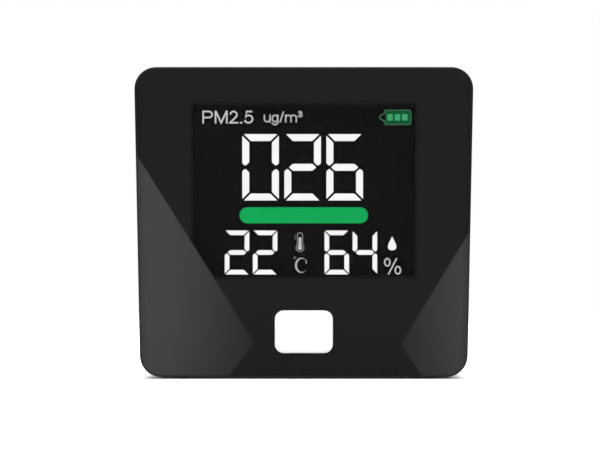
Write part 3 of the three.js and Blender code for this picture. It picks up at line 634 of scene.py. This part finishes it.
# Letters as strokes. Each has its width, in capital heights, and paths whose x runs from 0 to 1 across that
# width and whose z runs from 0 at the base line to 1 at the height of a capital.
LOWER = 0.63  # the height of a lower-case letter
GLYPHS = {
    "P": (0.83, [[(0, 0), (0, 1)] + arc((0.58, 0.73), (0.42, 0.27), 90, -90) + [(0, 0.46)]]),
    "M": (1.0, [[(0, 0), (0, 1)], [(0.03, 1), (0.5, 0), (0.97, 1)], [(1, 0), (1, 1)]]),
    "2": (0.69, [arc((0.48, 0.71), (0.45, 0.29), 165, -25) + [(0.5, 0.32), (0.1, 0.08), (0, 0), (1, 0)]]),
    ".": (0.2, [[(0, 0), (1, 0)]]),
    "5": (0.72, [[(0.86, 1), (0.22, 1), (0.1, 0.5)] + arc((0.47, 0.33), (0.53, 0.33), 130, -150)]),
    "u": (0.6, [[(0, LOWER)] + arc((0.5, 0.25), (0.5, 0.25), 180, 350), [(1, LOWER), (1, 0)]]),
    "g": (0.6, [
        arc((0.5, LOWER / 2), (0.5, LOWER / 2), 0, 360),
        [(1, LOWER)] + arc((0.5, -0.04), (0.5, 0.24), 0, -155),
    ]),
    "/": (0.42, [[(0.05, 0), (0.95, 0.93)]]),
    "m": (1.02, [
        [(0, LOWER), (0, 0)],
        arc((0.25, 0.4), (0.25, 0.23), 170, 0) + [(0.5, 0)],
        arc((0.75, 0.4), (0.25, 0.23), 170, 0) + [(1, 0)],
    ]),
    "3": (0.42, [
        arc((0.45, 0.87), (0.4, 0.115), 150, -90, 10),
        arc((0.45, 0.625), (0.52, 0.13), 90, -150, 10),
    ]),
}


def make_word(name, text, left, base, cap_height, stroke, spacing, material):
    """A word in strokes. Its capitals are cap_height tall and stand on base."""
    bm = bmesh.new()
    x0 = left
    for letter in text:
        width, paths = GLYPHS[letter]
        across, up = width * cap_height - stroke, cap_height - stroke
        for path in paths:
            placed = [(x0 + stroke / 2 + x * across, base + stroke / 2 + z * up) for x, z in path]
            add_ribbon(bm, square_ends(placed, stroke / 2), stroke, LIT_FRONT, LIT_BACK)
        x0 += (width + spacing) * cap_height
    lit_piece(name, bm, material)


def make_level_bar(centre, width, height, material):
    """A bar with round ends."""
    bm = bmesh.new()
    reach = width / 2 - height / 2
    round_ends = arc((centre[0] + reach, centre[1]), (height / 2,) * 2, -90, 90, 16)
    round_ends += arc((centre[0] - reach, centre[1]), (height / 2,) * 2, 90, 270, 16)
    add_slab(bm, round_ends, LIT_FRONT, LIT_BACK)
    lit_piece("level_bar", bm, material)


def make_droplet(x, low, width, height, material):
    """A teardrop curve: a circle whose width shrinks towards a point at the top."""
    bm = bmesh.new()
    steps = 36
    angles = [math.tau * step / steps for step in range(steps)]
    across = [math.sin(angle) * math.sin(angle / 2) ** 2 for angle in angles]
    scale = width / 2 / max(across)
    middle = low + height / 2
    outline = []
    for side, angle in zip(across, angles):
        outline.append((x + scale * side, middle + height / 2 * math.cos(angle)))
    add_slab(bm, outline, LIT_FRONT, LIT_BACK)
    lit_piece("sign_droplet", bm, material)


def make_thermometer(x, low, high, outline_material, column_material):
    """A hollow stem and bulb, with a filled column inside and three short marks beside it."""
    bulb, stem, stroke = 0.92 * MM, 0.6 * MM, 0.24 * MM  # two radii and a line's width
    neck = math.degrees(math.acos(stem / bulb))
    bulb_z, top_z = low + bulb, high - stem
    bm = bmesh.new()
    shell = arc((x, bulb_z), (bulb, bulb), neck, -180 - neck, 20)
    shell += arc((x, top_z), (stem, stem), 180, 0, 12)
    add_ribbon(bm, shell + shell[:1], stroke, LIT_FRONT, LIT_BACK)
    mark_far, mark_near, mark_pitch, mark_stroke = x - 1.3 * MM, x - 0.95 * MM, 0.5 * MM, 0.16 * MM
    for mark in range(3):
        z = top_z + 0.1 * MM - mark * mark_pitch
        add_ribbon(bm, [(mark_far, z), (mark_near, z)], mark_stroke, LIT_FRONT, LIT_BACK)
    lit_piece("sign_thermometer_outline", bm, outline_material)
    bm = bmesh.new()
    core, half, column_top = 0.52 * MM, 0.32 * MM, top_z - 0.8 * MM
    lean = math.degrees(math.acos(half / core))
    column = arc((x, bulb_z), (core, core), lean, -180 - lean, 20)
    column += arc((x, column_top), (half, half), 180, 0, 8)
    add_slab(bm, column, LIT_FRONT, LIT_BACK)
    lit_piece("sign_thermometer_column", bm, column_material)


def make_celsius(left, low, width, height, material, ring_material):
    """A C that is heavy on its left side and light towards its ends, and a fainter degree ring."""
    bm = bmesh.new()
    centre = (left + width / 2, low + height / 2)
    heavy, light = 0.5 * MM, 0.22 * MM
    outer = arc(centre, (width / 2, height / 2), 38, 322, 30)
    inner_centre = (centre[0] + heavy / 2, centre[1])
    inner = arc(inner_centre, (width / 2 - heavy / 2, height / 2 - light), 318, 42, 30)
    add_slab(bm, outer + inner, LIT_FRONT, LIT_BACK)
    # The serif hangs from the upper end of the C.
    corner = Vector(outer[0])
    serif = [corner + Vector((0, 0.05 * MM)), corner - Vector((0, 0.7 * MM))]
    add_ribbon(bm, serif, light, LIT_FRONT, LIT_BACK)
    lit_piece("legend_celsius", bm, material)
    bm = bmesh.new()
    ring_radius, ring_stroke = 0.24 * MM, 0.14 * MM
    ring = arc((left - 0.02 * MM, low + height), (ring_radius, ring_radius), 0, 360, 14)
    add_ribbon(bm, ring, ring_stroke, LIT_FRONT, LIT_BACK)
    lit_piece("legend_degree", bm, ring_material)


def make_percent(left, low, width, height, material):
    """Two rings and a slash, laid out in shares of the sign's width and height."""
    bm = bmesh.new()
    stroke = 0.34 * MM
    radii = (0.16 * width, 0.225 * height)
    for x, z in ((0.18, 0.75), (0.82, 0.26)):
        ring = arc((left + x * width, low + z * height), radii, 0, 360, 20)
        add_ribbon(bm, ring, stroke, LIT_FRONT, LIT_BACK)
    slash = [(left + 0.24 * width, low), (left + 0.75 * width, low + height)]
    add_ribbon(bm, slash, stroke, LIT_FRONT, LIT_BACK)
    lit_piece("legend_percent", bm, material)


def make_battery_sign(left, low, outline_material, cell_material, field_material):
    """A battery lying down, its terminal to the left, with three lit cells."""
    width, height, nose, stroke = 6.15 * MM, 3.34 * MM, 1.15 * MM, 0.36 * MM
    high = low + height
    middle = (low + high) / 2
    right = left + nose + width
    body_left = left + nose
    turn = 0.3 * MM  # the cut of the two right-hand corners
    tip, root = 0.3 * MM, 0.95 * MM  # half the terminal's height, at its tip and at the body
    shell = [
        (body_left, high), (body_left, middle + root), (left, middle + tip), (left, middle - tip),
        (body_left, middle - root), (body_left, low), (right - turn, low), (right, low + turn),
        (right, high - turn), (right - turn, high), (body_left, high),
    ]
    bm = bmesh.new()
    add_ribbon(bm, shell, stroke, LIT_FRONT, LIT_BACK)
    lit_piece("sign_battery_outline", bm, outline_material)
    # The field is a thin plate inside the outline, and the cells lie in front of it.
    inset, step = 0.21 * MM, 0.02 * MM
    bm = bmesh.new()
    inside = [
        (body_left + inset, low + inset), (right - inset, low + inset),
        (right - inset, high - inset), (body_left + inset, high - inset),
    ]
    add_slab(bm, inside, LIT_BACK - step, LIT_BACK)
    lit_piece("sign_battery_field", bm, field_material)
    bm = bmesh.new()
    cell, pitch, first = 1.3 * MM, 1.75 * MM, body_left + 0.6 * MM
    cell_low, cell_high, cell_corner = low + 0.9 * MM, high - 0.9 * MM, 0.25 * MM
    for index in range(3):
        x = first + index * pitch
        corners = [(x, cell_low), (x + cell, cell_low), (x + cell, cell_high), (x, cell_high)]
        add_slab(bm, rounded_outline(corners, [cell_corner] * 4, 4), LIT_FRONT, LIT_BACK - 1.5 * step)
    lit_piece("sign_battery_cells", bm, cell_material)


WHITE = (1.0, 1.0, 1.0)


def make_display():
    """Everything that is lit. Places are measured from the middle of the face's bottom edge."""
    # A light's strength makes up for the smoked window in front of it.
    white = lit("lit_white", WHITE, 1.97)
    soft = lit("lit_soft_white", WHITE, 1.12)
    dim = lit("lit_dim_white", WHITE, 0.9)
    faint = lit("lit_faint_white", WHITE, 0.45)
    green = lit("lit_green", (0.0, 1.0, 0.215), 0.8)
    outline = lit("lit_green_outline", (0.3, 1.0, 0.55), 0.22)
    cells = lit("lit_green_cells", (0.14, 1.0, 0.41), 0.72)
    field = lit("lit_green_field", (0.0, 1.0, 0.25), 0.18)
    base = FACE_BOTTOM
    upper_row, lower_row = base + 41.8 * MM, base + 24.3 * MM

    make_number("digits_particles", "026", left=-14.55 * MM, low=upper_row, size=LARGE, material=white)
    make_level_bar(centre=(0.0, base + 38.3 * MM), width=30.4 * MM, height=3.8 * MM, material=green)
    make_number("digits_temperature", "22", left=-18.7 * MM, low=lower_row, size=SMALL, material=white)
    make_number("digits_humidity", "64", left=4.9 * MM, low=lower_row, size=SMALL, material=white)
    make_word(
        "legend_particles", "PM2.5", left=-24.0 * MM, base=base + 60.0 * MM,
        cap_height=3.05 * MM, stroke=0.39 * MM, spacing=0.13, material=soft,
    )
    make_word(
        "legend_unit", "ug/m3", left=-9.5 * MM, base=base + 60.25 * MM,
        cap_height=2.8 * MM, stroke=0.35 * MM, spacing=0.06, material=dim,
    )
    make_thermometer(
        x=-0.9 * MM, low=base + 29.7 * MM, high=base + 34.2 * MM,
        outline_material=faint, column_material=soft,
    )
    make_celsius(
        left=-2.1 * MM, low=base + 24.65 * MM, width=3.0 * MM, height=3.6 * MM,
        material=dim, ring_material=faint,
    )
    make_droplet(x=20.9 * MM, low=base + 30.0 * MM, width=2.0 * MM, height=3.45 * MM, material=white)
    make_percent(left=19.05 * MM, low=lower_row, width=3.9 * MM, height=3.85 * MM, material=soft)
    make_battery_sign(
        left=18.0 * MM, low=base + 59.8 * MM,
        outline_material=outline, cell_material=cells, field_material=field,
    )


# ---------------------------------------------------------------- finishes of the CAD nodes


def case_material():
    """Spark-eroded mould texture with painted shade in its low spots, and a slightly polished rub along
    edges.
    """
    grain_size, pit_depth, wander_size = 0.45 * MM, 0.045 * MM, 30 * MM
    shader = Shader("case_black", grey(0.0105), 0.5, specular=0.34)
    pits_and_shade = shader.span(shader.noise(grain_size, 4), 0.38, 0.62)
    # Painted shade: the colour darkens where the texture's relief is low.
    shader.put("Base Color", shader.mix(pits_and_shade, grey(0.0085), grey(0.0125)))
    worn = shader.span(shader.node("ShaderNodeNewGeometry").outputs["Pointiness"], 0.52, 0.6)
    rough = shader.span(shader.noise(wander_size, 2), 0.3, 0.7, 0.49, 0.53)
    shader.put("Roughness", shader.math("SUBTRACT", rough, shader.math("MULTIPLY", worn, 0.1)))
    shader.bump(pits_and_shade, pit_depth)
    return shader.material


def coil_material():
    """Enamelled copper wire, turn beside turn, with painted shade in the grooves between them."""
    wire = 0.16 * MM
    shader = Shader("coil_copper", (0.5, 0.16, 0.05), 0.3, metallic=0.9)
    turns_and_shade = shader.waves(wire, "Y")
    # Painted shade: the colour darkens in the grooves between the wires.
    shader.put("Base Color", shader.mix(turns_and_shade, (0.16, 0.04, 0.012), (0.62, 0.22, 0.07)))
    shader.bump(turns_and_shade, 0.06 * MM)
    return shader.material


def foil_material():
    """Laminated foil, creased by hand assembly."""
    shader = Shader("battery_foil", grey(0.5), 0.32, metallic=0.85)
    creases = shader.noise(5 * MM, 5)
    shader.put("Base Color", shader.mix(shader.noise(1.2 * MM, 2), (0.4, 0.41, 0.43), (0.52, 0.53, 0.55)))
    shader.bump(creases, 0.5 * MM)
    return shader.material


def ribbed_material():
    """Ribbon cable, a ridge for each wire, with painted shade in the grooves between them."""
    wire_pitch = 1.0 * MM
    shader = Shader("cable_grey", grey(0.17), 0.55)
    ribs_and_shade = shader.waves(wire_pitch, "Z")
    # Painted shade: the colour darkens in the grooves between the ridges.
    shader.put("Base Color", shader.mix(ribs_and_shade, grey(0.11), grey(0.2)))
    shader.bump(ribs_and_shade, 0.12 * MM)
    return shader.material


def polarizer_material():
    """Nearly black film with an even sheen."""
    shader = Shader("polarizer_film", grey(0.004), 0.22, specular=0.3)
    slow = shader.noise(18 * MM, 2)
    shader.put("Base Color", shader.mix(slow, grey(0.0042), grey(0.0052)))
    shader.put("Roughness", shader.span(slow, 0.3, 0.7, 0.2, 0.26))
    return shader.material


def glass_material():
    """Thin clear glass with a green tinge."""
    shader = Shader("display_glass", (0.62, 0.7, 0.68), 0.05)
    shader.put("Roughness", shader.span(shader.noise(10 * MM, 3), 0.3, 0.7, 0.03, 0.08))
    shader.put("Alpha", 0.35)
    return shader.material


def guide_material():
    """Clear acrylic with scattered etched dots."""
    dot_spacing = 0.6 * MM
    shader = Shader("light_guide", (0.8, 0.85, 0.87), 0.15)
    dots = shader.span(shader.cells(dot_spacing), 0.22, 0.3, 1.0, 0.0)
    shader.put("Base Color", shader.mix(dots, (0.72, 0.78, 0.8), (0.95, 0.96, 0.96)))
    shader.bump(dots, 0.03 * MM)
    return shader.material


def lamp_strip_material():
    """Amber film with a row of white lamps."""
    amber, lamp_pitch = (0.43, 0.19, 0.02), 4.6 * MM
    shader = Shader("light_bar", amber, 0.4)
    lamps = shader.span(shader.waves(lamp_pitch, "Z"), 0.6, 0.66)
    shader.put("Base Color", shader.mix(lamps, amber, (0.9, 0.88, 0.7)))
    shader.bump(lamps, 0.2 * MM)
    return shader.material


def chip_material():
    """Black moulding compound with a fine speckle."""
    shader = Shader("chip_black", grey(0.011), 0.55)
    speckle = shader.noise(0.12 * MM, 2)
    shader.put("Base Color", shader.mix(speckle, grey(0.008), grey(0.016)))
    shader.bump(speckle, 0.01 * MM)
    return shader.material


# What makes the material of each slot in the record. The lens's and the button's slots aren't here, because
# new pieces stand for them.
FINISHES = {
    "case_black": case_material,
    "rubber_black": lambda: moulded("rubber_black", grey(0.009), 0.85, 0.3 * MM, 0.03 * MM, 0.3, 0.25),
    "foam_grey": lambda: foam("foam_grey", (0.045, 0.045, 0.048)),
    "screw_steel": lambda: metal("screw_steel", (0.46, 0.45, 0.43), 0.34),
    "polarizer_film": polarizer_material,
    "display_glass": glass_material,
    "display_film": lambda: moulded("display_film", (0.8, 0.82, 0.84), 0.3, 0.5 * MM, 0.004 * MM, 0.04),
    "light_guide_acrylic": guide_material,
    "light_bar_film": lamp_strip_material,
    "plastic_white": lambda: moulded("plastic_white", (0.84, 0.84, 0.78), 0.45, vary=0.05),
    "plastic_black": lambda: moulded("plastic_black", (0.016, 0.016, 0.017), 0.5, vary=0.2),
    "board_green": lambda: circuit_board("board_green", (0.011, 0.105, 0.038)),
    "board_blue": lambda: circuit_board("board_blue", (0.011, 0.05, 0.195)),
    "chip_black": chip_material,
    "tin_shell": lambda: metal("tin_shell", (0.62, 0.61, 0.58), 0.28, "Z"),
    "battery_foil": foil_material,
    "battery_amber_film": lambda: moulded(
        "battery_amber_film", (0.48, 0.19, 0.012), 0.3, 1.5 * MM, 0.05 * MM, 0.2
    ),
    "wire_red": lambda: moulded("wire_red", (0.43, 0.012, 0.01), 0.45, vary=0.15),
    "wire_black": lambda: moulded("wire_black", grey(0.011), 0.45, vary=0.2),
    "cable_grey": ribbed_material,
    "laser_brass": lambda: metal("laser_brass", (0.6, 0.4, 0.13), 0.25, "X", 0.2 * MM),
    "coil_copper": coil_material,
    "sensor_lid_steel": lambda: metal("sensor_lid_steel", (0.55, 0.55, 0.54), 0.32, "X", 0.1 * MM),
}

# How wide the softening of a CAD node's edges is.
EDGE_SOFTNESS = {"front_housing": 0.12 * MM, "rear_cover": 0.2 * MM}
SMALL_PART_SOFTNESS = 0.05 * MM


def smooth_shading(limit):
    """A geometry node group that shades everything smooth except edges sharper than limit."""
    group = bpy.data.node_groups.new("smooth_shading", "GeometryNodeTree")
    group.interface.new_socket("Geometry", in_out="INPUT", socket_type="NodeSocketGeometry")
    group.interface.new_socket("Geometry", in_out="OUTPUT", socket_type="NodeSocketGeometry")
    nodes, links = group.nodes, group.links
    plain = nodes.new("GeometryNodeRemoveAttribute")
    plain.inputs["Name"].default_value = "custom_normal"
    faces = nodes.new("GeometryNodeSetShadeSmooth")
    edges = nodes.new("GeometryNodeSetShadeSmooth")
    edges.domain = "EDGE"
    edges.inputs["Shade Smooth"].default_value = False
    sharp = nodes.new("FunctionNodeCompare")
    sharp.inputs["B"].default_value = limit
    links.new(nodes.new("GeometryNodeInputMeshEdgeAngle").outputs["Unsigned Angle"], sharp.inputs["A"])
    links.new(sharp.outputs["Result"], edges.inputs["Selection"])
    chain = [nodes.new("NodeGroupInput"), plain, faces, edges, nodes.new("NodeGroupOutput")]
    for source, target in zip(chain, chain[1:]):
        links.new(source.outputs[0], target.inputs[0])
    return group


def soften(node, width, shading):
    """Breaks a CAD node's hard edges a little and evens its shading, by modifiers alone."""
    bevelled_angle = math.radians(32)
    weld = node.modifiers.new("weld", "WELD")
    weld.merge_threshold = 0.001 * MM
    bevel = node.modifiers.new("soft_edges", "BEVEL")
    bevel.width = width
    bevel.segments = 2
    bevel.limit_method = "ANGLE"
    bevel.angle_limit = bevelled_angle
    bevel.use_clamp_overlap = True
    node.modifiers.new("smooth_shading", "NODES").node_group = shading
    even = node.modifiers.new("even_normals", "WEIGHTED_NORMAL")
    even.keep_sharp = True


def finish_nodes():
    """Gives every carried-over CAD node its material."""
    shading = smooth_shading(SHARP_ANGLE)
    made = {}
    for row in frame["record"]["subparts"]:
        node, slot = frame["nodes"][row["node"]], row["material_slot"]
        if slot not in FINISHES:
            continue
        if slot not in made:
            made[slot] = FINISHES[slot]()
        node.material_slots[0].material = made[slot]
        soften(node, EDGE_SOFTNESS.get(row["node"], SMALL_PART_SOFTNESS), shading)


# ---------------------------------------------------------------- stage, light and camera


def make_floor():
    """A pale round floor that fades out towards its rim."""
    radius = 0.62
    fade_start, fade_end = 0.4 * radius, 0.98 * radius
    bm = bmesh.new()
    bmesh.ops.create_circle(bm, cap_ends=True, segments=96, radius=radius)
    mesh = bpy.data.meshes.new("floor")
    bm.to_mesh(mesh)
    bm.free()
    floor = bpy.data.objects.new("floor", mesh)
    bpy.context.scene.collection.objects.link(floor)
    shader = Shader("floor_pale", grey(0.86), 0.7, specular=0.1)
    from_middle = shader.node("ShaderNodeVectorMath", {0: shader.place()}, operation="LENGTH")
    shader.put("Alpha", shader.span(from_middle.outputs["Value"], fade_start, fade_end, 1.0, 0.0))
    mesh.materials.append(shader.material)
    floor.visible_glossy = False  # so that the polished face does not mirror it


def make_world():
    """Plain white to the camera. Everything else sees a soft room that is dark behind the camera.

    The camera looks along +Y, so what lies behind it is in the directions whose y is near -1.
    """
    bright, dark = 0.75, 0.05
    world = bpy.data.worlds.new("room")
    world.use_nodes = True
    bpy.context.scene.world = world
    tree = world.node_tree
    nodes, links = tree.nodes, tree.links
    nodes.clear()
    direction = nodes.new("ShaderNodeTexCoord").outputs["Generated"]
    split = nodes.new("ShaderNodeSeparateXYZ")
    links.new(direction, split.inputs[0])
    front = nodes.new("ShaderNodeMapRange")
    front.interpolation_type = "SMOOTHSTEP"
    links.new(split.outputs["Y"], front.inputs["Value"])
    for name, value in (("From Min", -0.55), ("From Max", -0.95), ("To Min", bright), ("To Max", dark)):
        front.inputs[name].default_value = value
    camera_ray = nodes.new("ShaderNodeLightPath").outputs["Is Camera Ray"]
    strength = nodes.new("ShaderNodeMix")
    links.new(camera_ray, strength.inputs["Factor"])
    links.new(front.outputs["Result"], strength.inputs[2])
    strength.inputs[3].default_value = 1.0
    background = nodes.new("ShaderNodeBackground")
    background.inputs["Color"].default_value = (1, 1, 1, 1)
    links.new(strength.outputs[0], background.inputs["Strength"])
    output = nodes.new("ShaderNodeOutputWorld")
    links.new(background.outputs[0], output.inputs["Surface"])


def make_light(name, place, target, size, power):
    """A soft rectangular light that faces the target."""
    data = bpy.data.lights.new(name, "AREA")
    data.shape = "RECTANGLE"
    data.size, data.size_y = size
    data.energy = power
    light = bpy.data.objects.new(name, data)
    light.location = place
    light.rotation_euler = (Vector(target) - Vector(place)).to_track_quat("-Z", "Y").to_euler()
    bpy.context.scene.collection.objects.link(light)


def make_camera():
    """Straight on with a long lens, so far away that the face takes face_share of the picture's width."""
    face_share = 0.568
    left_shift, down_shift = 0.9 * MM, 0.7 * MM
    centre = (CASE_LOW + CASE_HIGH) / 2
    data = bpy.data.cameras.new("camera")
    data.lens = 200
    camera = bpy.data.objects.new("camera", data)
    distance = FACE_TOP_WIDTH / face_share * data.lens / data.sensor_width
    camera.location = (centre.x - left_shift, LENS_FACE - distance, centre.z - down_shift)
    camera.rotation_euler = (math.radians(90), 0, 0)
    bpy.context.scene.collection.objects.link(camera)
    bpy.context.scene.camera = camera


def make_stage():
    """Floor, room and four soft lights: above, to both sides in front, and behind."""
    make_floor()
    make_world()
    middle = (0, 0, 0.04)
    make_light("overhead", (0, 0.05, 0.75), middle, (0.8, 0.8), 9)
    make_light("left_fill", (-0.7, -0.35, 0.45), middle, (0.5, 0.6), 3.5)
    make_light("right_fill", (0.7, -0.35, 0.45), middle, (0.5, 0.6), 3.5)
    make_light("back_fill", (0, 0.75, 0.35), middle, (0.8, 0.4), 3)
    bpy.context.scene.view_settings.view_transform = "Standard"
    bpy.context.scene.view_settings.look = "None"


make_lens()
make_button()
make_display()
finish_nodes()
make_camera()
make_stage()
